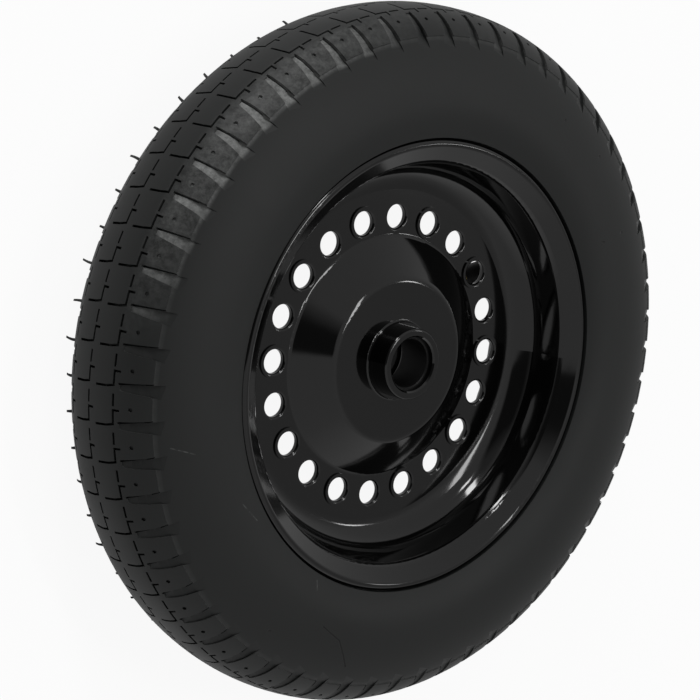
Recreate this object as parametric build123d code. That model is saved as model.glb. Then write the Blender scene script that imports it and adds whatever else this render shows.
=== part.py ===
from build123d import *
import os
from math import cos, radians, sin, sqrt, tan

# Wheelbarrow wheel: a pneumatic tyre with its tube on a split rim of pressed steel.
# The wheel lies flat. Z is the spin axis, the open face is up, and the origin is the
# centre of the wheel, on the plane where the two rim halves meet. Lengths are in millimetres.

# Rim halves: two pressings of one kind, back to back
sheet = 1.5                      # thickness of the steel
neck_height = 2.2                # turned-up collar around the hub, over the centre flat
neck_bend = 1.2
centre_flat_radius = 41.5
dish_rise = 11.2                 # centre flat over web
cone_edge_bend = 5.0
web_inner_radius = 62.0
cone_foot_bend = 4.0
wall_bend = 15.0                 # round foot of the wall, inside the dish
bead_seat_radius = 103.9         # on the tyre's side, at the root of the flange
bead_seat_taper = 7.0            # degrees
rim_width = 52.5                 # between the roots of the flanges
flange_bend = 3.0
flange_slope = 32.0              # degrees out of the plane of the wheel
flange_run = 9.6
lip_bend = 1.4                   # inside radius of the curled edge
lip_turn = 118.0                 # degrees

# Eyelets: drawn collars that clinch one half to the other, by turns
eyelet_count = 20
eyelet_circle_radius = 72.0
eyelet_bore_radius = 6.1
eyelet_round = 1.3               # mouth radius of the bore, at both ends
collar_wall = 1.1
collar_clearance = 0.05
mouth_radius = 9.0               # where the drawn mouth meets the flat web
flare_radius = 8.5
flare_thickness = 0.9

# Hub
hub_radius = 18.4
hub_wall = 4.4
hub_length = 48.8
hub_edge_round = 1.2
hub_mouth_chamfer = 0.8
hub_fit = 0.05                   # between the necks and the tube
bush_wall = 1.5
bush_recess = 3.0
bush_length = 20.0
bush_chamfer = 0.5

# Tyre
tyre_radius = 180.0
tyre_half_width = 38.2
widest_radius = 134.0
crown_arc = 64.0
shoulder_arc = 28.0
side_arc = 75.0
lower_side_arc = 36.0
crown_thickness = 10.0
side_thickness = 5.0
bead_base = 11.4                 # width of the bead on its seat
bead_height = 14.5               # from the seat to where the side wall starts inside
toe_width = 2.0
heel_ease = 1.0                  # the heel's round over that of the rim's bend
bead_gap = 0.15                  # between rubber and steel
lip_gap = 0.3

# Tread
pitches = 60
tread_phase = 0.94               # degrees
rib_spacing = 16.2               # between the three running grooves
groove_width = 1.3
groove_depth = 3.0
lateral_end = 5.1                # what a cross groove leaves before the next running groove
lateral_skew = 8.0               # degrees off the axis
cross_shift = 0.3                # degrees from a notch to the cross grooves
notch_start = 19.0
notch_length = 22.0
notch_tilt = 33.0                # degrees, slope of the shoulder along the notch
notch_depth = 1.6                # under the surface, at its start
notch_ramp = 3.2                 # width at its start
notch_growth = 2.1               # how much larger it is at its end
notch_clear = 1.5                # reach of the cutting shape over the surface

# Tube and valve, on the hidden side
tube_section_radius = 33.0
tube_wall = 1.8
tube_gap = 0.3
valve_angle = 27.0               # degrees round the wheel, between two eyelets
valve_lean = 32.0                # degrees out of the plane of the wheel
stem_rubber_radius = 5.6
stem_rubber_length = 27.0
stem_foot_radius = 8.0
stem_foot_height = 3.0
stem_hole_gap = 0.25
stem_root = 1.0                  # how far the brass reaches under the tube's skin
stem_length = 38.0
stem_radius = 3.85
stem_bore_radius = 2.4
core_radius = 2.3
core_length = 20.0
core_recess = 2.0
core_pin_radius = 0.8
core_pin_length = 3.5
cap_radius = 5.0
cap_height = 10.0
cap_top = 1.6
cap_clearance = 0.1

past_face = 3.0                  # how far a cutting shape runs past the face it opens
pitch_angle = 360 / pitches
eyelet_step = 360 / eyelet_count
flat_back = dish_rise
neck_radius = hub_radius + hub_fit
seat_foot_radius = bead_seat_radius - rim_width / 2 * tan(radians(bead_seat_taper))
collar_radius = eyelet_bore_radius + collar_wall


def upright(flat):
    """Moves a sketch of radius and height into the plane through the axis."""
    return Plane.XZ * flat


def turned(flat):
    """Solid of revolution of a sketch of radius and height."""
    return revolve(upright(flat), axis=Axis.Z)


def outline(*edges):
    return make_face(Curve() + list(edges))


def arc_about(centre, start, end):
    middle = centre + (start + end - centre * 2).normalized() * (start - centre).length
    return ThreePointArc(start, middle, end)


def tyre_side(top, half_width, crown, shoulder, side, lower, end_radius):
    """Four arcs that meet smoothly, from the crown over the shoulder down to the bead."""
    crown_centre = Vector(top - crown, 0)
    side_centre = Vector(widest_radius, half_width - side)
    lower_centre = Vector(widest_radius, half_width - lower)
    span = side_centre - crown_centre
    reach, rest = crown - shoulder, side - shoulder
    along = (reach**2 - rest**2 + span.length**2) / (2 * span.length)
    across = sqrt(reach**2 - along**2)
    unit = span.normalized()
    shoulder_centre = crown_centre + unit * along + Vector(-unit.Y, unit.X) * across
    crown_end = crown_centre + (shoulder_centre - crown_centre).normalized() * crown
    side_start = side_centre + (shoulder_centre - side_centre).normalized() * side
    widest = Vector(widest_radius, half_width)
    inset = widest_radius - end_radius
    end = lower_centre + Vector(-inset, sqrt(lower**2 - inset**2))
    return [
        arc_about(crown_centre, Vector(top, 0), crown_end),
        arc_about(shoulder_centre, crown_end, side_start),
        arc_about(side_centre, side_start, widest),
        arc_about(lower_centre, widest, end),
    ]


def crown_radius_at(height):
    """Radius of the tread's surface on the crown arc."""
    return tyre_radius - crown_arc + sqrt(crown_arc**2 - height**2)


def cross_groove(running_groove):
    """Cutting shape of the groove that runs down across a row of blocks from its running groove."""
    length = rib_spacing - lateral_end
    blade = Pos(0, 0, -length / 2) * Box(2 * groove_depth, groove_width, length)
    blade = Rot(lateral_skew, 0, 0) * blade
    return Pos(crown_radius_at(running_groove - length / 2), 0, running_groove) * blade


def shoulder_notch():
    """Cutting shape of a shoulder notch: one steep wall, one ramp, and both grow outwards."""
    def triangle(scale):
        depth, ramp = notch_depth * scale, notch_ramp * scale
        over = notch_clear
        return make_face(Polyline(
            (-depth, 0), (over, 0), (over, ramp * (1 + over / depth)), close=True
        ))
    start = Plane(
        origin=(crown_radius_at(notch_start), 0, notch_start),
        x_dir=(cos(radians(notch_tilt)), 0, sin(radians(notch_tilt))),
        z_dir=(-sin(radians(notch_tilt)), 0, cos(radians(notch_tilt))),
    )
    return loft([start * triangle(1), start * Pos(0, 0, notch_length) * triangle(notch_growth)])


def both_sides(edges):
    """The edges of the upper half with their mirror images below the centre plane."""
    return edges + [edge.mirror(Plane.XZ) for edge in edges]


def rim_sheet():
    """Section of a rim half: its inner surface as a path, thickened towards the open face."""
    seat_root = Vector(bead_seat_radius, rim_width / 2)
    slope = radians(flange_slope)
    inner = FilletPolyline(
        (neck_radius, flat_back + sheet + neck_height),
        (neck_radius, flat_back),
        (centre_flat_radius, flat_back),
        (web_inner_radius, 0),
        (seat_foot_radius, 0),
        seat_root,
        seat_root + Vector(cos(slope), sin(slope)) * flange_run,
        radius=[
            neck_bend + sheet,
            cone_edge_bend,
            cone_foot_bend + sheet,
            wall_bend + sheet,
            flange_bend,
        ],
    )
    lip = JernArc(start=inner @ 1, tangent=inner % 1, radius=lip_bend, arc_size=-lip_turn)
    path = Wire(inner.edges() + lip.edges())
    return make_face(offset(path, amount=sheet, side=Side.LEFT, closed=True).edges())


def drawn_collar():
    """Collar of one eyelet, from its own web at the top down to the flare on the other half."""
    bottom = -sheet - flare_thickness
    mouth = eyelet_bore_radius + eyelet_round
    top_centre = Vector(mouth, sheet - eyelet_round)
    low_centre = Vector(mouth, bottom + eyelet_round)
    return turned(outline(
        Line((mouth_radius, sheet), (mouth, sheet)),
        arc_about(top_centre, Vector(mouth, sheet), Vector(eyelet_bore_radius, top_centre.Y)),
        Line((eyelet_bore_radius, top_centre.Y), (eyelet_bore_radius, low_centre.Y)),
        arc_about(low_centre, Vector(eyelet_bore_radius, low_centre.Y), Vector(mouth, bottom)),
        Line((mouth, bottom), (flare_radius, bottom)),
        Line((flare_radius, bottom), (flare_radius, -sheet)),
        Line((flare_radius, -sheet), (collar_radius, -sheet)),
        Line((collar_radius, -sheet), (collar_radius, 0)),
        Line((collar_radius, 0), (mouth_radius, 0)),
        Line((mouth_radius, 0), (mouth_radius, sheet)),
    ))


def rim_half():
    """Upper half, with its own collars on every other place and clear holes between."""
    own = PolarLocations(eyelet_circle_radius, eyelet_count // 2, start_angle=eyelet_step)
    other = PolarLocations(eyelet_circle_radius, eyelet_count // 2)
    half = turned(rim_sheet())
    half -= own * Cylinder(mouth_radius, 4 * sheet)
    half -= other * Cylinder(collar_radius + collar_clearance, 4 * sheet)
    return half + own * drawn_collar()


def tube_meeting(across, height):
    """Way along the valve's axis from the wall's bend centre to the tube's skin."""
    lean = radians(valve_lean)
    nearest = across * cos(lean) + height * sin(lean)
    square = across**2 + height**2 - tube_section_radius**2
    return nearest - sqrt(nearest**2 - square)


rim_face = rim_sheet()
lip_radius = rim_face.bounding_box().max.X
lip_low = rim_width / 2 + flange_run * sin(radians(flange_slope)) - lip_bend
tube_centre_radius = tyre_radius - crown_thickness - tube_gap - tube_section_radius

# Rim
rim_front = rim_half()
rim_rear = Rot(0, 0, eyelet_step) * rim_front.mirror(Plane.XY)

# Hub tube and bushes
hub = Cylinder(hub_radius, hub_length) - Cylinder(hub_radius - hub_wall, hub_length)
hub_rims = hub.edges().filter_by(GeomType.CIRCLE)
hub = fillet(hub_rims.filter_by(lambda edge: edge.radius == hub_radius), hub_edge_round)
hub_mouths = hub.edges().filter_by(GeomType.CIRCLE).filter_by(
    lambda edge: abs(edge.radius - hub_radius + hub_wall) < 0.01
)
hub = chamfer(hub_mouths, hub_mouth_chamfer)

bush_radius = hub_radius - hub_wall
bush = Cylinder(bush_radius, bush_length) - Cylinder(bush_radius - bush_wall, bush_length)
bush_mouths = bush.edges().filter_by(GeomType.CIRCLE).filter_by(
    lambda edge: abs(edge.radius - bush_radius + bush_wall) < 0.01
)
bush = chamfer(bush_mouths, bush_chamfer)
bush_height = hub_length / 2 - bush_recess - bush_length / 2

# Tyre
bead_top_radius = bead_seat_radius + bead_height
outer_side = tyre_side(
    tyre_radius, tyre_half_width, crown_arc, shoulder_arc, side_arc, lower_side_arc,
    lip_radius + lip_gap,
)
inner_side = tyre_side(
    tyre_radius - crown_thickness, tyre_half_width - side_thickness,
    crown_arc - side_thickness, shoulder_arc - side_thickness, side_arc - side_thickness,
    lower_side_arc - side_thickness, bead_top_radius,
)
heel = Vector(bead_seat_radius + bead_gap, rim_width / 2 - bead_gap)
toe = heel - Vector(bead_base * tan(radians(bead_seat_taper)), bead_base)
flank = heel + Vector((lip_low - heel.Y) / tan(radians(flange_slope)), lip_low - heel.Y)
outer_end = outer_side[-1] @ 1
inner_end = inner_side[-1] @ 1
bead = FilletPolyline(
    outer_end, (outer_end.X, lip_low), flank, heel, toe, toe + Vector(toe_width, 0), inner_end,
    radius=[0, 0, flange_bend + bead_gap + heel_ease, 0, 0],
).edges()
tyre_face = outline(*both_sides(outer_side + inner_side + list(bead)))
for height in (-rib_spacing, 0, rib_spacing):
    floor = crown_radius_at(height) - groove_depth
    tyre_face -= Pos(floor, height) * Rectangle(
        2 * groove_depth, groove_width, align=(Align.MIN, Align.CENTER)
    )
tyre = turned(tyre_face)

# Tread cuts, one set for each pitch: two cross grooves and a notch in each shoulder
cuts = []
for pitch in range(pitches):
    angle = tread_phase + pitch * pitch_angle
    cuts.append(Rot(0, 0, angle) * shoulder_notch())
    cuts.append(Rot(0, 0, angle - pitch_angle / 2) * shoulder_notch().mirror(Plane.XY))
    cuts.append(Rot(0, 0, angle + cross_shift) * cross_groove(rib_spacing))
    cuts.append(Rot(0, 0, angle + cross_shift) * cross_groove(0))
tyre -= cuts

# Inner tube with its moulded stem, and the valve. The valve's axis crosses the rear half's wall
# squarely, on its round foot. Along it, zero is the centre of that bend.
foot_bend = wall_bend + sheet
foot_centre_radius = seat_foot_radius - foot_bend * tan(radians(90 - bead_seat_taper) / 2)
valve = Plane(
    origin=(foot_centre_radius, 0, -foot_bend),
    x_dir=(0, 1, 0),
    z_dir=(cos(radians(valve_lean)), 0, sin(radians(valve_lean))),
)
place = Rot(0, 0, valve_angle) * valve.location
root = tube_meeting(tube_centre_radius - foot_centre_radius, foot_bend)
stem_end = root + stem_root - stem_length


def along_valve(radius, low, high):
    """Cylinder on the valve's axis between two places along it."""
    return place * Pos(0, 0, (low + high) / 2) * Cylinder(radius, high - low)


rim_rear -= along_valve(
    stem_rubber_radius + stem_hole_gap, wall_bend - past_face, foot_bend + past_face
)

tube_skin = turned(Pos(tube_centre_radius, 0) * Circle(tube_section_radius))
tube_air = turned(Pos(tube_centre_radius, 0) * Circle(tube_section_radius - tube_wall))
foot_cone = place * Pos(0, 0, root - stem_foot_height / 2 + tube_wall / 2) * Cone(
    stem_rubber_radius, stem_foot_radius, stem_foot_height + tube_wall
)
stem_rubber = along_valve(stem_rubber_radius, root - stem_rubber_length, root + tube_wall)
inner_tube = tube_skin + (foot_cone + stem_rubber)
inner_tube -= tube_air
inner_tube -= along_valve(stem_radius, stem_end, root + stem_root)

stem = along_valve(stem_radius, stem_end, root + stem_root)
stem -= along_valve(stem_bore_radius, stem_end - past_face, root + stem_root + past_face)

core_start = stem_end + core_recess
core = along_valve(core_radius, core_start + core_pin_length, core_start + core_length)
core += along_valve(core_pin_radius, core_start, core_start + core_pin_length)

cap_low = stem_end - cap_top - cap_clearance
cap = along_valve(cap_radius, cap_low, cap_low + cap_height)
cap -= along_valve(
    stem_radius + cap_clearance, cap_low + cap_top, cap_low + cap_height + past_face
)

parts = {
    "tyre": tyre,
    "inner_tube": inner_tube,
    "valve_stem": stem,
    "valve_core": core,
    "valve_cap": cap,
    "rim_half_front": rim_front,
    "rim_half_rear": rim_rear,
    "hub_tube": hub,
    "axle_bush_front": Pos(0, 0, bush_height) * bush,
    "axle_bush_rear": Pos(0, 0, -bush_height) * bush,
}
os.makedirs("parts", exist_ok=True)
for name, shape in parts.items():
    shape.label = name
    export_step(shape, f"parts/{name}.step")
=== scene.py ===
import random
from math import acos, atan2, cos, pi, radians, sin, sqrt, tan

import bmesh
import bpy
from mathutils import Matrix, Vector


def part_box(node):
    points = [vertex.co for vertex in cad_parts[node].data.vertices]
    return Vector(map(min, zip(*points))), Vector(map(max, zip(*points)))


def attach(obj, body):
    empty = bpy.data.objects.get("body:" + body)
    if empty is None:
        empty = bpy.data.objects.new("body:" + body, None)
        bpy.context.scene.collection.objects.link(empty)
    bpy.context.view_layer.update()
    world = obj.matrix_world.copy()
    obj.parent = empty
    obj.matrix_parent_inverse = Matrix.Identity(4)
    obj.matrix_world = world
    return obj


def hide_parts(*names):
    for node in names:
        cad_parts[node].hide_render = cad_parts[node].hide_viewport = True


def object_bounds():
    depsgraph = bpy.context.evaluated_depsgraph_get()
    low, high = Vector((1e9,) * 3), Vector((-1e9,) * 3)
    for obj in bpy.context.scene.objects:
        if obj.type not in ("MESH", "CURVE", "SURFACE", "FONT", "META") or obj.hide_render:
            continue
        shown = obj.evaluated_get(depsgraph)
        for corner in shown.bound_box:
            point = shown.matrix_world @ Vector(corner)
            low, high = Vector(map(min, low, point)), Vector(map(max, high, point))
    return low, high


# A wheelbarrow wheel that lies flat: block tread, gloss-black split rim, tube hub.
# Shapes are worked out in millimetres and scaled to metres as each mesh is finished.
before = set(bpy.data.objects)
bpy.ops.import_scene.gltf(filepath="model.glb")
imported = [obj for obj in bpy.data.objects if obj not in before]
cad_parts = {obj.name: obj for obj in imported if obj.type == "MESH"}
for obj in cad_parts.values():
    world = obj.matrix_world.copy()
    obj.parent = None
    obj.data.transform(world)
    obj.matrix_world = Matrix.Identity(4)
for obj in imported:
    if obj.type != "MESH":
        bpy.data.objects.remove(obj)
cad_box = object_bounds()
MM = 0.001

# Tyre
TYRE_RADIUS = 180.0
HALF_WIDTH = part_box("tyre")[1].z / MM
WIDEST_RADIUS = 134.0
SKIN_MATCH = 0.985                       # how square to the skin a face of the skin is
SKIN_ARCS = (64.0, 28.0, 75.0, 36.0)     # crown, shoulder, side wall, lower side wall
CROWN_THICKNESS = 10.0
WALL_THICKNESS = 5.0
LIP_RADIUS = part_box("rim_half_front")[1].x / MM
LIP_GAP = 0.3
SEAT_RADIUS = 103.9
SEAT_HEIGHT = 26.25
SEAT_SLOPE = radians(7)
BEAD_BASE = 11.4
BEAD_HEIGHT = 14.5
TOE_WIDTH = 2.0
LIP_LOW = 29.9
BEAD_GAP = 0.15                          # between the bead and its seat
HEEL_TOP = (4.0, 2.4)                    # from the heel to the bead's outer corner
HEEL_FLAT = 3.0                          # how far the bead stands upright at its heel

# Tread. Turns are degrees round the wheel, and all other measures are millimetres.
PITCHES = 60
PITCH_TURN = 360 / PITCHES
PITCH_ANGLE = 2 * pi / PITCHES           # radians
DEGREE = radians(1) * TYRE_RADIUS        # length of one degree at the crown
ROW_HEIGHTS = (16.2, 0.0, -16.2)         # the running grooves
ROW_CORNERS = (1.17, 1.45, 1.73)         # degrees, where each row's cross groove starts
GROOVE_WIDTH = 1.15
GROOVE_WIDTHS = (GROOVE_WIDTH, GROOVE_WIDTH)
GROOVE_DEPTH = 3.0
OVER_SKIN = 1.5                          # how far a cutting block stands over the skin
FIRST_DASH = (0.0, -2.1)                 # degrees from the corner
SECOND_DASH = (-2.7, -4.65)
STUB_LENGTH = 3.4
CROSS_BEND = (0.33, 4.2)                 # degrees round, millimetres down, from the corner
CROSS_END = (0.51, 11.1)
CROSS_SLICES = 2                         # lengths that a cutting block is sliced into
SLOT_SLICES = 6
RAMP_SLICES = 5
SLOT_TURN = (0.94, 0.54)                 # degrees, at its two ends
SLOT_HEIGHTS = (18.5, 31.0)
SLOT_WIDTHS = (1.1, 0.5)
SLOT_DEPTH = 2.8
RAMP_HEIGHTS = (19.3, 35.4)
RAMP_CREST = 0.6                         # share of its length where it is deepest
RAMP_WIDTHS = (3.0, 5.8, 8.6)            # at its start, its crest and its end
RAMP_DEPTHS = (0.8, 2.0, -0.25)          # along the slot
RAMP_STEPS = (0.3, 1.0, -0.25)           # along its far edge
LOWER_RAMPS = 1.7                        # how much deeper the lower shoulder's ramps are
LUG_END = 30.8                           # height where the lugs stop
LUG_STEP = 0.4
LUG_EDGE = 0.1                           # width of that step
LUG_FADE = 14.0                          # how far past it the wall is lowered
VENT_TURN = 4.75                         # degrees
VENT_HEIGHT = 24.0
VENT_RADIUS = 1.05
VENT_DEPTH = 1.2
VENT_SIDES = 10
HAIR_TURN = 2.65                         # degrees
HAIR_HEIGHT = -24.5
HAIR_LENGTH = 3.9
HAIR_RADIUS = 0.8
HAIR_STEPS = 5
HAIR_SIDES = 6
HAIR_SINK = 0.4                          # how deep its foot sits in the skin
HAIR_SAG = 1.2                           # how far its tip hangs down
HAIR_TAPER = 0.93                        # from one step to the next
HAIR_CREASE = 40                         # degrees from which its edges are sharp
TURN_RANGE = (-0.25, 0.25)               # how hairs differ: in degrees of their place,
HEIGHT_RANGE = (-0.8, 0.8)               # in its height,
LENGTH_RANGE = (0.6, 1.15)               # in shares of the length,
BEND_RANGE = (-0.6, 1.2)                 # and in how far the tip leans round the wheel
CHANCE = random.Random(7)

# Fineness of the tyre's mesh
CROWN_STEPS = 16                         # points of the section over each half of the crown
FADE_STEPS = 4                           # where the wall is lowered
WALL_STEPS = 14                          # down the rest of the wall
INNER_STEPS = 14                         # inside, to each side
WEDGE_STEPS = 3                          # round one pitch
WELD = 0.004                             # points nearer than this become one
TURN_SLACK = 1e-5                        # radians, at a wedge's two ends
ARC_SLACK = 1e-6                         # radians, where two arcs of the section meet
HALVINGS = 40                            # in the search for a height on the skin

# Marks on the upper side wall, each from one place to another
SCUFFS = (
    ((-155.2, -31.2), (-143.2, -34.1)),
    ((-112.4, -60.4), (-102.1, -69.3)),
    ((-59.3, -103.8), (-60.0, -108.4)),
)
SCUFF_WIDTH = 0.35
DENTS = (
    ((-55.0, -127.0), (-43.2, -135.7)),
    ((-43.2, -135.7), (-35.1, -151.0)),
)
DENT_WIDTH = 0.5
VENT_MARKS = ((77.0, 126.9), (106.1, 108.8), (128.2, 68.8), (114.4, 63.6), (-87.4, -126.0))
VENT_MARK_LENGTH = 0.3
VENT_MARK_WIDTH = 1.0
WALL_VENTS = tuple(((x, y), (x + VENT_MARK_LENGTH, y)) for x, y in VENT_MARKS)


class Skin:
    """Section of the tyre's skin as arcs that meet smoothly, walked from the crown's middle."""

    def __init__(self, top, half_width, arcs, end_radius):
        crown_arc, shoulder_arc, side_arc, lower_arc = arcs
        crown = Vector((top - crown_arc, 0))
        side = Vector((WIDEST_RADIUS, half_width - side_arc))
        lower = Vector((WIDEST_RADIUS, half_width - lower_arc))
        span = side - crown
        near, far = crown_arc - shoulder_arc, side_arc - shoulder_arc
        along = (near**2 - far**2 + span.length_squared) / (2 * span.length)
        unit = span.normalized()
        shoulder = crown + unit * along + Vector((-unit.y, unit.x)) * sqrt(near**2 - along**2)
        turns = [
            0,
            atan2(*(shoulder - crown).yx),
            atan2(*(shoulder - side).yx),
            pi / 2,
            acos((end_radius - WIDEST_RADIUS) / lower_arc),
        ]
        centres = (crown, shoulder, side, lower)
        self.arcs = list(zip(centres, arcs, turns, turns[1:]))
        self.length = sum(radius * (end - start) for _, radius, start, end in self.arcs)

    def at(self, way):
        """Point and outward direction, as radius and height, at a way from the crown's middle."""
        left = min(abs(way), self.length)
        for centre, radius, start, end in self.arcs:
            turn = start + left / radius
            if turn <= end or end == self.arcs[-1][3]:
                break
            left -= radius * (end - start)
        out = Vector((cos(turn), sin(turn)))
        point = centre + out * radius
        if way < 0:
            point.y, out.y = -point.y, -out.y
        return point, out

    def way_to(self, height):
        """Way along the skin to a height over the wheel's middle plane."""
        low, high = 0.0, self.length / 2
        for _ in range(HALVINGS):
            middle = (low + high) / 2
            if self.at(middle)[0].y < abs(height):
                low = middle
            else:
                high = middle
        return low if height >= 0 else -low

    def out_from(self, point):
        """Outward direction of the skin beside a point, both as radius and height."""
        side = -1 if point.y < 0 else 1
        for centre, _, start, end in self.arcs:
            turn = atan2(abs(point.y) - centre.y, point.x - centre.x)
            if start - ARC_SLACK <= turn <= end:
                return Vector((cos(turn), side * sin(turn)))
        return Vector((1, 0))


outer = Skin(TYRE_RADIUS, HALF_WIDTH, SKIN_ARCS, LIP_RADIUS + LIP_GAP)
inner = Skin(
    TYRE_RADIUS - CROWN_THICKNESS,
    HALF_WIDTH - WALL_THICKNESS,
    [arc - WALL_THICKNESS for arc in SKIN_ARCS],
    SEAT_RADIUS + BEAD_HEIGHT,
)


def on_skin(turn, way, lift):
    """Point of the tyre: degrees round the wheel, way along the skin, height over the skin."""
    point, out = outer.at(way)
    spot = point + out * lift
    angle = radians(turn)
    return Vector((spot.x * cos(angle), spot.x * sin(angle), spot.y))


def stock(name, bm):
    """Turns a bmesh into a plain object."""
    mesh = bpy.data.meshes.new(name)
    bm.to_mesh(mesh)
    bm.free()
    thing = bpy.data.objects.new(name, mesh)
    bpy.context.scene.collection.objects.link(thing)
    return thing


def new_piece(name, bm, slot, *nodes):
    """Finishes a bmesh in millimetres as a piece that rides on the wheel."""
    bmesh.ops.scale(bm, vec=(MM, MM, MM), verts=bm.verts)
    piece = stock(name, bm)
    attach(piece, "root")
    if nodes:
        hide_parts(*nodes)
    return piece


# Tread cutting blocks. Each starts as a cube, is sliced across, and is laid on the skin.
def block(bm, slices, lay):
    """A cube sliced into lengths; lay(u, v, w) places a corner, each of the three from 0 to 1."""
    made = bmesh.ops.create_cube(bm, size=1)["verts"]
    faces = list({face for vert in made for face in vert.link_faces})
    edges = list({edge for vert in made for edge in vert.link_edges})
    geometry = made + edges + faces
    for cut in range(1, slices):
        sliced = bmesh.ops.bisect_plane(
            bm, geom=geometry, plane_co=(0, cut / slices - 0.5, 0), plane_no=(0, 1, 0)
        )
        geometry = list(set(sliced["geom"]) | set(sliced["geom_cut"]))
    for item in geometry:
        if isinstance(item, bmesh.types.BMVert):
            u, v, w = item.co + Vector((0.5, 0.5, 0.5))
            item.co = lay(u, v, w)


def mix(ends, share):
    return ends[0] + (ends[1] - ends[0]) * share


def groove(bm, start, end, widths, depth, slices=1):
    """Cutting block of a straight groove between two places, each degrees round and way across."""
    start, end = Vector(start), Vector(end)
    along = Vector(((end.x - start.x) * DEGREE, end.y - start.y)).normalized()
    across = Vector((-along.y / DEGREE, along.x))

    def lay(u, v, w):
        spot = start.lerp(end, v) + across * mix(widths, v) * (u - 0.5)
        return on_skin(spot.x, spot.y, OVER_SKIN if w > 0.5 else -depth)

    block(bm, slices, lay)


def ramp(bm, turn, side):
    """Cutting block of a shoulder ramp: deep at the slot's wall, a low step at its far edge."""
    ways = [outer.way_to(height) * side for height in RAMP_HEIGHTS]
    deeper = 1 if side > 0 else LOWER_RAMPS

    def along(values, v):
        if v < RAMP_CREST:
            return mix(values[:2], v / RAMP_CREST)
        return mix(values[1:], (v - RAMP_CREST) / (1 - RAMP_CREST))

    def lay(u, v, w):
        depth = mix((along(RAMP_DEPTHS, v), along(RAMP_STEPS, v)), u) * deeper
        reach = turn + mix(SLOT_TURN, v) + u * along(RAMP_WIDTHS, v) / DEGREE
        return on_skin(reach, mix(ways, v), OVER_SKIN if w > 0.5 else -depth)

    block(bm, RAMP_SLICES, lay)


def shoulder_cuts(bm, turn, side):
    """Slot, ramp and vent of one lug on the upper or lower shoulder."""
    ways = [outer.way_to(height) * side for height in SLOT_HEIGHTS]
    starts = [turn + share for share in SLOT_TURN]
    groove(bm, (starts[0], ways[0]), (starts[1], ways[1]), SLOT_WIDTHS, SLOT_DEPTH, SLOT_SLICES)
    ramp(bm, turn, side)
    way = outer.way_to(VENT_HEIGHT) * side
    point, out = on_skin(turn + VENT_TURN, way, 0), on_skin(turn + VENT_TURN, way, 1)
    lean = (out - point).to_track_quat("Z", "Y").to_matrix().to_4x4()
    bmesh.ops.create_cone(
        bm, segments=VENT_SIDES, cap_ends=True, radius1=VENT_RADIUS, radius2=VENT_RADIUS,
        depth=2 * VENT_DEPTH, matrix=Matrix.Translation(point) @ lean,
    )


def row_cuts(bm, turn, row):
    """Dashes and stub of one block along a running groove, and the cross groove to the next row."""
    height, corner = ROW_HEIGHTS[row], turn + ROW_CORNERS[row]
    way = outer.way_to(height)
    for dash in (FIRST_DASH, SECOND_DASH):
        groove(bm, (corner + dash[0], way), (corner + dash[1], way), GROOVE_WIDTHS, GROOVE_DEPTH)
    stub = corner + FIRST_DASH[1]
    foot, top = (stub, way - GROOVE_WIDTH / 2), (stub, way + STUB_LENGTH)
    groove(bm, foot, top, GROOVE_WIDTHS, GROOVE_DEPTH)
    if row < len(ROW_HEIGHTS) - 1:
        bend = (corner + CROSS_BEND[0], outer.way_to(height - CROSS_BEND[1]))
        end = (corner + CROSS_END[0], outer.way_to(height - CROSS_END[1]))
        groove(bm, (corner, way + GROOVE_WIDTH / 2), bend, GROOVE_WIDTHS, GROOVE_DEPTH)
        groove(bm, bend, end, GROOVE_WIDTHS, GROOVE_DEPTH, CROSS_SLICES)


def tread_cutters():
    """All cutting blocks that reach into one pitch, those of its neighbours too."""
    bm = bmesh.new()
    for pitch in (-1, 0, 1):
        turn = pitch * PITCH_TURN
        shoulder_cuts(bm, turn, 1)
        shoulder_cuts(bm, turn + PITCH_TURN / 2, -1)
        for row in range(len(ROW_HEIGHTS)):
            row_cuts(bm, turn, row)
    bmesh.ops.recalc_face_normals(bm, faces=bm.faces)
    return bm


def section():
    """Closed outline of the tyre's section, as radius and height, from the lower lip round."""
    lug_way = outer.way_to(LUG_END)

    def skin_point(way):
        past = abs(way) - lug_way
        drop = LUG_STEP * max(0, 1 - past / LUG_FADE) if past > 0 else 0
        point, out = outer.at(way)
        return point - out * drop

    ways = [lug_way * step / CROWN_STEPS for step in range(-CROWN_STEPS, CROWN_STEPS + 1)]
    fade = [lug_way + LUG_EDGE + LUG_FADE * step / FADE_STEPS for step in range(FADE_STEPS + 1)]
    wall = [mix((fade[-1], outer.length), step / WALL_STEPS) for step in range(1, WALL_STEPS + 1)]
    down = fade + wall
    outside = [skin_point(way) for way in [-way for way in reversed(down)] + ways + down]
    heel = Vector((SEAT_RADIUS + BEAD_GAP, SEAT_HEIGHT - BEAD_GAP))
    toe = heel - Vector((BEAD_BASE * tan(SEAT_SLOPE), BEAD_BASE))
    bead = [
        Vector((LIP_RADIUS + LIP_GAP, LIP_LOW)), heel + Vector(HEEL_TOP),
        heel - Vector((0, HEEL_FLAT)), toe, toe + Vector((TOE_WIDTH, 0)),
    ]
    steps = [inner.length * step / INNER_STEPS for step in range(-INNER_STEPS, INNER_STEPS + 1)]
    inside = [inner.at(-way)[0] for way in steps]
    below = [Vector((point.x, -point.y)) for point in reversed(bead)]
    return outside + bead + inside + below


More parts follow.
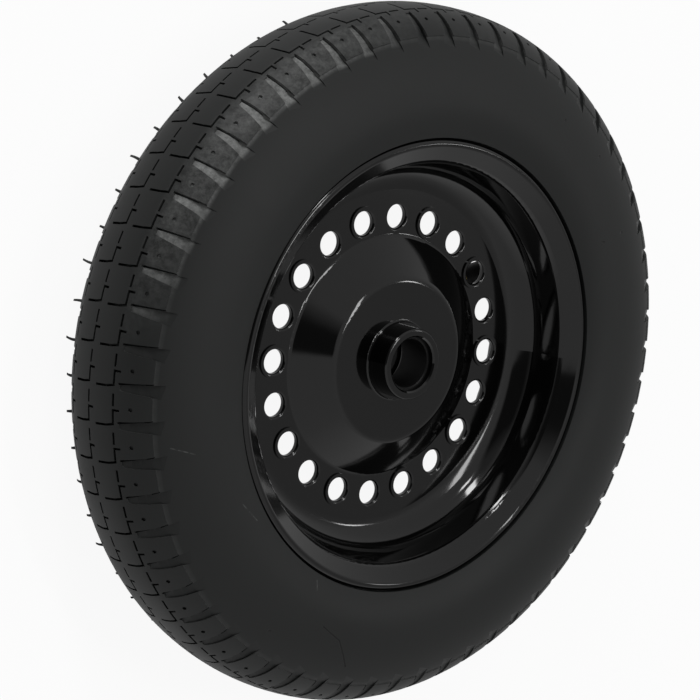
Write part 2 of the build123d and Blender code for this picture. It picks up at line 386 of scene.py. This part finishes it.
def tyre_wedge():
    """One pitch of the plain tyre as a closed solid."""
    bm = bmesh.new()
    corners = [bm.verts.new((point.x, 0, point.y)) for point in section()]
    edges = [bm.edges.new(pair) for pair in zip(corners, corners[1:] + corners[:1])]
    spun = bmesh.ops.spin(
        bm, geom=corners + edges, cent=(0, 0, 0), axis=(0, 0, 1), angle=PITCH_ANGLE,
        steps=WEDGE_STEPS,
    )
    last = [item for item in spun["geom_last"] if isinstance(item, bmesh.types.BMEdge)]
    bmesh.ops.contextual_create(bm, geom=edges)
    bmesh.ops.contextual_create(bm, geom=last)
    bmesh.ops.recalc_face_normals(bm, faces=bm.faces)
    return bm


def cut_away(body, cutters):
    """The body's bmesh with the cutters' shapes taken out of it."""
    wedge, tools = stock("wedge", body), stock("cutters", cutters)
    cut = wedge.modifiers.new("cut", "BOOLEAN")
    cut.operation, cut.solver, cut.use_self, cut.object = "DIFFERENCE", "EXACT", True, tools
    whole = wedge.evaluated_get(bpy.context.evaluated_depsgraph_get())
    bm = bmesh.new()
    bm.from_mesh(whole.to_mesh())
    whole.to_mesh_clear()
    bpy.data.objects.remove(wedge)
    bpy.data.objects.remove(tools)
    return bm


def all_round(bm, copies):
    """Opens a wedge at its two ends, and repeats it round the wheel's axis as one closed skin."""
    step = 2 * pi / copies

    def at_end(face):
        turns = [atan2(vert.co.y, vert.co.x) for vert in face.verts]
        return any(all(abs(turn - end) < TURN_SLACK for turn in turns) for end in (0, step))

    ends = [face for face in bm.faces if at_end(face)]
    bmesh.ops.delete(bm, geom=ends, context="FACES")
    bmesh.ops.spin(
        bm, geom=bm.verts[:] + bm.edges[:] + bm.faces[:], cent=(0, 0, 0), axis=(0, 0, 1),
        angle=2 * pi - step, steps=copies - 1, use_duplicate=True,
    )
    bmesh.ops.remove_doubles(bm, verts=bm.verts, dist=WELD)
    return bm


def skin_normals(bm):
    """Faces that lie along the skin are shaded as the skin's own curve, and all others flat."""
    normals = []
    for face in bm.faces:
        for loop in face.loops:
            spot = loop.vert.co
            radius = spot.xy.length
            out = outer.out_from(Vector((radius, spot.z)))
            along = Vector((out.x * spot.x / radius, out.x * spot.y / radius, out.y))
            normals.append(along if along.dot(face.normal) > SKIN_MATCH else face.normal.copy())
    return normals


def make_tyre():
    bm = all_round(cut_away(tyre_wedge(), tread_cutters()), PITCHES)
    bm.normal_update()
    normals = skin_normals(bm)
    tyre = new_piece("tyre_tread", bm, "tyre", "tyre")
    tyre.data.shade_smooth()
    tyre.data.normals_split_custom_set(normals)
    return tyre


def make_hairs():
    """Moulding hairs on the lower shoulder, one to a pitch, some longer and some bent more."""
    bm = bmesh.new()
    narrow = Matrix.Scale(HAIR_TAPER, 4)
    for pitch in range(PITCHES):
        turn = HAIR_TURN + pitch * PITCH_TURN + CHANCE.uniform(*TURN_RANGE)
        way = outer.way_to(HAIR_HEIGHT + CHANCE.uniform(*HEIGHT_RANGE))
        length = HAIR_LENGTH * CHANCE.uniform(*LENGTH_RANGE)
        bend = CHANCE.uniform(*BEND_RANGE) / DEGREE
        ring = bmesh.ops.create_circle(bm, segments=HAIR_SIDES, radius=HAIR_RADIUS)["verts"]
        foot, tip = on_skin(turn, way, -HAIR_SINK), on_skin(turn, way, 1)
        lean = (tip - foot).to_track_quat("Z", "Y").to_matrix().to_4x4()
        bmesh.ops.transform(bm, matrix=Matrix.Translation(foot) @ lean, verts=ring)
        edges = list({edge for vert in ring for edge in vert.link_edges})
        before = foot
        for step in range(1, HAIR_STEPS + 1):
            share = step / HAIR_STEPS
            made = bmesh.ops.extrude_edge_only(bm, edges=edges)["geom"]
            verts = [item for item in made if isinstance(item, bmesh.types.BMVert)]
            rims = [item for item in made if isinstance(item, bmesh.types.BMEdge)]
            edges = [edge for edge in rims if edge.is_boundary]
            centre = on_skin(turn - bend * share**2, way - HAIR_SAG * share**2, length * share)
            bmesh.ops.translate(bm, vec=centre - before, verts=verts)
            bmesh.ops.transform(bm, matrix=narrow, space=Matrix.Translation(-centre), verts=verts)
            before = centre
        bmesh.ops.contextual_create(bm, geom=edges)
    bmesh.ops.recalc_face_normals(bm, faces=bm.faces)
    hairs = new_piece("moulding_hairs", bm, "tyre")
    hairs.data.shade_smooth()
    hairs.data.set_sharp_from_angle(angle=radians(HAIR_CREASE))
    return hairs


# Shader nodes
class Value:
    """One socket of a material, with the arithmetic that shader maths needs."""

    def __init__(self, nodes, socket):
        self.nodes, self.socket = nodes, socket

    def math(self, operation, *others):
        return self.nodes.add("ShaderNodeMath", {"operation": operation}, self, *others)

    def __add__(self, other): return self.math("ADD", other)
    def __sub__(self, other): return self.math("SUBTRACT", other)
    def __rsub__(self, other): return self * -1 + other
    def __mul__(self, other): return self.math("MULTIPLY", other)
    def above(self, edge): return self.math("GREATER_THAN", edge)


class Nodes:
    """The node tree of a material or of the world."""

    def __init__(self, owner):
        owner.use_nodes = True
        self.tree = owner.node_tree
        self.tree.nodes.clear()

    def add(self, kind, settings=None, *inputs, output=0, **named):
        """Adds a node: its settings first, then its sockets by order or by name."""
        node = self.tree.nodes.new(kind)
        for key, value in (settings or {}).items():
            setattr(node, key, value)
        by_name = [(key.replace("_", " "), value) for key, value in named.items()]
        self.fill(node, list(enumerate(inputs)) + by_name)
        return Value(self, node.outputs[output])

    def fill(self, node, wanted):
        """Links or sets each wanted socket of a node."""
        for key, value in wanted:
            if isinstance(value, Value):
                self.tree.links.new(value.socket, node.inputs[key])
            else:
                node.inputs[key].default_value = value

    def finish(self, shader, output="ShaderNodeOutputMaterial"):
        self.tree.links.new(shader.socket, self.tree.nodes.new(output).inputs["Surface"])

    def place(self):
        return self.add("ShaderNodeTexCoord", output="Object")

    def axes(self, place):
        """The x, y and z of a vector, each as a value."""
        return [self.add("ShaderNodeSeparateXYZ", None, place, output=axis) for axis in "XYZ"]

    def noise(self, place, scale, detail=3.0, roughness=0.55):
        return self.add(
            "ShaderNodeTexNoise", None,
            Vector=place, Scale=scale, Detail=detail, Roughness=roughness,
        )

    def spread(self, value, low, high, bottom=0.0, top=1.0):
        """Turns low to high into bottom to top, and holds the ends beyond."""
        return self.add(
            "ShaderNodeMapRange", None,
            Value=value, From_Min=low, From_Max=high, To_Min=bottom, To_Max=top,
        )

    def blend(self, share, first, second):
        """Mixes two colours; the numbers are a colour mix's own sockets among all of the node's."""
        node = self.tree.nodes.new("ShaderNodeMix")
        node.data_type = "RGBA"
        self.fill(node, ((0, share), (6, first), (7, second)))
        return Value(self, node.outputs[2])

    def bump(self, height, distance, strength):
        return self.add("ShaderNodeBump", None, Height=height, Distance=distance, Strength=strength)

    def surface(self, **sockets):
        return self.add("ShaderNodeBsdfPrincipled", None, **sockets)

    def rays(self, *kinds):
        """For each kind, such as Camera or Glossy: 1 for its rays and 0 for all others."""
        path = self.tree.nodes.new("ShaderNodeLightPath")
        return [Value(self, path.outputs[f"Is {kind} Ray"]) for kind in kinds]


def grey(level, tint=(1, 1, 1)):
    return (level * tint[0], level * tint[1], level * tint[2], 1)


NOISE_RANGE = (0.3, 0.7)                 # where most of a noise lies

# The tyre's finish. Each pair is where a tone begins and where it is full, in metres.
SHOULDER_LOW = (0.014, 0.021)            # height of the near edge of the band of dust and painted sheen
SHOULDER_HIGH = (0.0317, 0.0306)         # and of its far edge
SHEEN_SIDE = (0.132, 0.165)               # the side of the wheel toward the lamps, where the band is pale all over: dust with painted sheen
RAMP_SHALLOW = (0.00025, 0.0006)         # depth from which a ramp gets more dust and painted sheen
RAMP_DEEP = (0.0027, 0.0022)             # and to which
EDGE_SHALLOW = (0.00014, 0.0002)         # the same for the painted glint line along the step at a lug's edge
EDGE_DEEP = (0.00045, 0.00035)
FACE_HEIGHT = 0.02                       # the side wall's marks lie over this height
HALF_DIAGONAL = 0.707
MARK_CORE = 0.4                          # share of a mark's width where it is full
PAINTED_GLINT_LEVEL = 0.28
SCUFF_DUST = 0.3
RUBBER_TONES = (grey(0.0042, (1, 1.12, 1.08)), grey(0.0062, (1, 1.1, 1.06)))
# Pale tone of the dust, the painted sheen, the painted glint lines and the scuffs
DUST_AND_SHEEN_TONE = grey(0.16, (1, 1.02, 1.0))
# Painted shade of the dents and the side wall's vent holes
PAINTED_SHADE_TONE = grey(0.001)


def finish_material(name, build):
    material = bpy.data.materials.new(name)
    nodes = Nodes(material)
    nodes.finish(build(nodes))
    return material


def below_skin(radius, height):
    """How deep a place of the tread lies in its cuts, from the arcs of the skin's section."""
    depths = []
    for centre, arc, _, _ in outer.arcs[:2]:
        out, up = radius - centre.x * MM, height - centre.y * MM
        depths.append(arc * MM - (out * out + up * up).math("SQRT"))
    crown, arc, _, end = outer.arcs[0]
    past = height.above((crown.y + arc * sin(end)) * MM)
    return depths[0] * (1 - past) + depths[1] * past


def mark(nodes, x, y, ends, width):
    """1 on a straight mark between two places of the side wall, and 0 beside it."""
    start, end = (Vector(place) * MM for place in ends)
    span = end - start
    share = ((x - start.x) * span.x + (y - start.y) * span.y) * (1 / span.length_squared)
    share = share.math("MAXIMUM", 0).math("MINIMUM", 1)
    out, up = x - start.x - share * span.x, y - start.y - share * span.y
    return nodes.spread((out * out + up * up).math("SQRT"), width * MM, width * MM * MARK_CORE)


def marks(nodes, x, y, all_ends, width):
    total = mark(nodes, x, y, all_ends[0], width)
    for ends in all_ends[1:]:
        total = total.math("MAXIMUM", mark(nodes, x, y, ends, width))
    return total


def rubber(nodes):
    """Moulded tyre rubber: charcoal, with dust and painted sheen in the shoulder's ramps, painted
    glint lines at the lugs' steps, scuffs, painted shade in dents and vents, and a fine grain.
    """
    place = nodes.place()
    cloud = nodes.noise(place, 14.0, 4.0)
    speck = nodes.noise(place, 420.0, 3.0, 0.7)
    x, y, z = nodes.axes(place)
    height = z.math("ABSOLUTE")
    shoulder = nodes.spread(height, *SHOULDER_LOW) * nodes.spread(height, *SHOULDER_HIGH)
    mottle = nodes.spread(nodes.noise(place, 240.0, 6.0, 0.8), 0.38, 0.68)
    patches = nodes.spread(nodes.noise(place, 9.0, 2.0), 0.5, 0.7, 0.0, 0.35)
    # Painted sheen: the shoulder band is pale all over on the side of the wheel toward the lamps
    sheen_side = nodes.spread(y * HALF_DIAGONAL - x * HALF_DIAGONAL, *SHEEN_SIDE)
    depth = below_skin((x * x + y * y).math("SQRT"), height)
    in_ramp = nodes.spread(depth, *RAMP_SHALLOW) * nodes.spread(depth, *RAMP_DEEP)
    # Painted glint: a pale line along the step at each lug's edge, over both shoulders
    edge = nodes.spread(depth, *EDGE_SHALLOW) * nodes.spread(depth, *EDGE_DEEP) * shoulder
    # Ramps get more of the pale tone: dust plus painted sheen
    dust_and_sheen_amount = mottle * 0.3 + in_ramp * (mottle * 0.4 + 0.3)
    dust_and_sheen = shoulder * patches.math("MAXIMUM", sheen_side) * dust_and_sheen_amount
    face = z.above(FACE_HEIGHT)
    scuffs = marks(nodes, x, y, SCUFFS, SCUFF_WIDTH) * nodes.spread(speck, 0.35, 0.6) * face
    dents = marks(nodes, x, y, DENTS, DENT_WIDTH) * face
    vents = marks(nodes, x, y, WALL_VENTS, VENT_MARK_WIDTH) * face
    plain = nodes.blend(nodes.spread(cloud, *NOISE_RANGE), *RUBBER_TONES)
    pale = dust_and_sheen.math("MAXIMUM", edge * PAINTED_GLINT_LEVEL).math("MAXIMUM", scuffs * SCUFF_DUST)
    colour = nodes.blend(pale, plain, DUST_AND_SHEEN_TONE)
    # Painted shade: dents and vent holes darker than the rubber round them
    colour = nodes.blend(dents.math("MAXIMUM", vents), colour, PAINTED_SHADE_TONE)
    roughness = nodes.spread(cloud, *NOISE_RANGE, 0.5, 0.6) + dents * 0.2
    return nodes.surface(
        Base_Color=colour, Roughness=roughness, IOR=1.33,
        Normal=nodes.bump(speck * 0.1 - dents - vents, 0.0006, 0.6),
    )


def enamel(nodes):
    """Stoved gloss-black paint, a touch uneven as it dried."""
    place = nodes.place()
    peel = nodes.noise(place, 60.0, 2.0)
    return nodes.surface(
        Base_Color=grey(0.0012), IOR=1.4, Normal=nodes.bump(peel, 0.00002, 0.5),
        Roughness=nodes.spread(nodes.noise(place, 9.0), *NOISE_RANGE, 0.06, 0.1),
    )


def nylon(nodes):
    grain = nodes.noise(nodes.place(), 300.0)
    return nodes.surface(
        Base_Color=grey(0.002), Roughness=0.5, IOR=1.25, Normal=nodes.bump(grain, 0.00003, 0.5),
    )


def brass(nodes):
    turned = nodes.noise(nodes.place(), 200.0)
    return nodes.surface(
        Base_Color=(0.55, 0.40, 0.16, 1), Metallic=1.0,
        Roughness=nodes.spread(turned, *NOISE_RANGE, 0.28, 0.4),
    )


def butyl(nodes):
    grain = nodes.noise(nodes.place(), 250.0)
    return nodes.surface(
        Base_Color=grey(0.018), Roughness=0.6, Normal=nodes.bump(grain, 0.00004, 0.6),
    )


def dress(node, material):
    """Gives a CAD node its finish."""
    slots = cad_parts[node].data.materials
    slots.clear()
    slots.append(material)


# Floor and light
FLOOR_SIZE = 30.0
FLOOR_GLOW = 0.92
FLOOR_GREY = 0.8
SHEET_LEVEL = 0.8                        # how bright the white room looks in gloss
PLAIN_LEVEL = 0.5                        # how much the room lights matt surfaces

# What gloss mirrors of the room: a direction, and where along it a tone begins and is full
CORNER_TOP = ((-0.107, 1.0, 0.031), (-0.06, -0.02))
CORNER_SIDE = ((1.0, 0.27, 0.0), (-0.06, -0.2))
GREY_WALL = ((0.78, -0.3, 0.53), (0.84, 0.96))
WALL_SHADE = 0.4                         # how much darker the grey wall is
BRIGHT_END = (-0.7, -0.95)
BRIGHT_LEVEL = 1.15
DARK_BY_HEIGHT = (0.4, 0.1, 0.08, 0.4)   # in the dark corner: two places, and the level at each
DARK_BY_SIDE = (0.45, 0.65, 0.0, 0.3)

SOFTBOXES = (                            # place, width and height in metres, power in watts
    ("long_box", (0.66, 0.36, 2.0), (0.95, 0.2), 8),
    ("small_box", (-0.3, 1.44, 1.36), (0.25, 0.2), 3.9),
    ("tall_box", (-0.62, 1.8, 0.56), (0.28, 0.8), 17),
    ("slim_box", (1.36, 0.02, 1.46), (0.1, 0.12), 0.7),
)


def floor_paper(nodes):
    """White paper that glows to the camera and in reflections, and keeps the wheel's shadow."""
    camera, glossy, through = nodes.rays("Camera", "Glossy", "Transmission")
    seen = camera + glossy + through
    matt = nodes.add("ShaderNodeBsdfDiffuse", None, grey(FLOOR_GREY))
    glow = nodes.add("ShaderNodeEmission", None, grey(1.0), 1 - glossy * (1 - SHEET_LEVEL))
    return nodes.add("ShaderNodeMixShader", None, seen * FLOOR_GLOW, matt, glow)


def make_floor():
    bm = bmesh.new()
    bmesh.ops.create_grid(bm, x_segments=1, y_segments=1, size=FLOOR_SIZE / 2)
    bmesh.ops.translate(bm, vec=(0, 0, cad_box[0].z), verts=bm.verts)
    floor = stock("floor", bm)
    floor.data.materials.append(finish_material("floor_paper", floor_paper))


def room_level(nodes):
    """Brightness of the studio in gloss: white sheets, with a dark corner and a grey wall."""
    x, y, z = nodes.axes(nodes.add("ShaderNodeTexCoord", output="Generated"))

    def towards(way, ends):
        return nodes.spread(x * way[0] + y * way[1] + z * way[2], *ends)

    corner = towards(*CORNER_TOP) * towards(*CORNER_SIDE)
    sheet = nodes.spread(y, *BRIGHT_END, SHEET_LEVEL, BRIGHT_LEVEL)
    sheet = sheet * (1 - towards(*GREY_WALL) * WALL_SHADE)
    dark = nodes.spread(z, *DARK_BY_HEIGHT) + nodes.spread(y, *DARK_BY_SIDE)
    return sheet * (1 - corner) + dark * corner


def make_world():
    """White all round to the camera, a studio in gloss, and a plain light elsewhere."""
    world = bpy.data.worlds.new("studio")
    bpy.context.scene.world = world
    nodes = Nodes(world)
    camera, glossy, through = nodes.rays("Camera", "Glossy", "Transmission")
    seen = camera + through
    strength = seen * (1 - PLAIN_LEVEL) + glossy * (room_level(nodes) - PLAIN_LEVEL) + PLAIN_LEVEL
    background = nodes.add("ShaderNodeBackground", None, grey(1.0), strength)
    nodes.finish(background, "ShaderNodeOutputWorld")


def lamp(name, place, size, power):
    """A softbox, wide and high, that faces the wheel."""
    data = bpy.data.lights.new(name, "AREA")
    data.shape, data.size, data.size_y, data.energy = "RECTANGLE", *size, power
    thing = bpy.data.objects.new(name, data)
    thing.location = place
    thing.rotation_mode = "QUATERNION"
    thing.rotation_quaternion = Vector(place).to_track_quat("Z", "Y")
    thing.visible_camera = False
    bpy.context.scene.collection.objects.link(thing)


# Camera, as the photograph was taken
CAMERA_AZIMUTH = radians(255.655)
CAMERA_ELEVATION = radians(47.694)
CAMERA_ROLL = radians(106.318)
CAMERA_DISTANCE = 1224.54
CAMERA_PAN = (-16.0, 2.75)               # to the picture's right and up
CAMERA_LENS = 123.02


def make_camera():
    back = Vector((
        sin(CAMERA_AZIMUTH) * cos(CAMERA_ELEVATION),
        -cos(CAMERA_AZIMUTH) * cos(CAMERA_ELEVATION),
        sin(CAMERA_ELEVATION),
    ))
    turn = back.to_track_quat("Z", "Y").to_matrix() @ Matrix.Rotation(CAMERA_ROLL, 3, "Z")
    pan = turn @ Vector((*CAMERA_PAN, 0))
    data = bpy.data.cameras.new("camera")
    data.lens = CAMERA_LENS
    data.clip_start, data.clip_end = 0.05, 100
    camera = bpy.data.objects.new("camera", data)
    camera.matrix_world = Matrix.Translation((back * CAMERA_DISTANCE + pan) * MM) @ turn.to_4x4()
    bpy.context.scene.collection.objects.link(camera)
    bpy.context.scene.camera = camera


moulded_rubber = finish_material("moulded_rubber", rubber)
for piece in (make_tyre(), make_hairs()):
    piece.data.materials.append(moulded_rubber)
black_enamel = finish_material("black_enamel", enamel)
black_nylon = finish_material("black_nylon", nylon)
yellow_brass = finish_material("yellow_brass", brass)
for node in ("rim_half_front", "rim_half_rear", "hub_tube"):
    dress(node, black_enamel)
for node in ("axle_bush_front", "axle_bush_rear", "valve_cap"):
    dress(node, black_nylon)
for node in ("valve_stem", "valve_core"):
    dress(node, yellow_brass)
dress("inner_tube", finish_material("butyl", butyl))

make_floor()
make_world()
for softbox in SOFTBOXES:
    lamp(*softbox)
make_camera()
bpy.context.scene.view_settings.view_transform = "Standard"
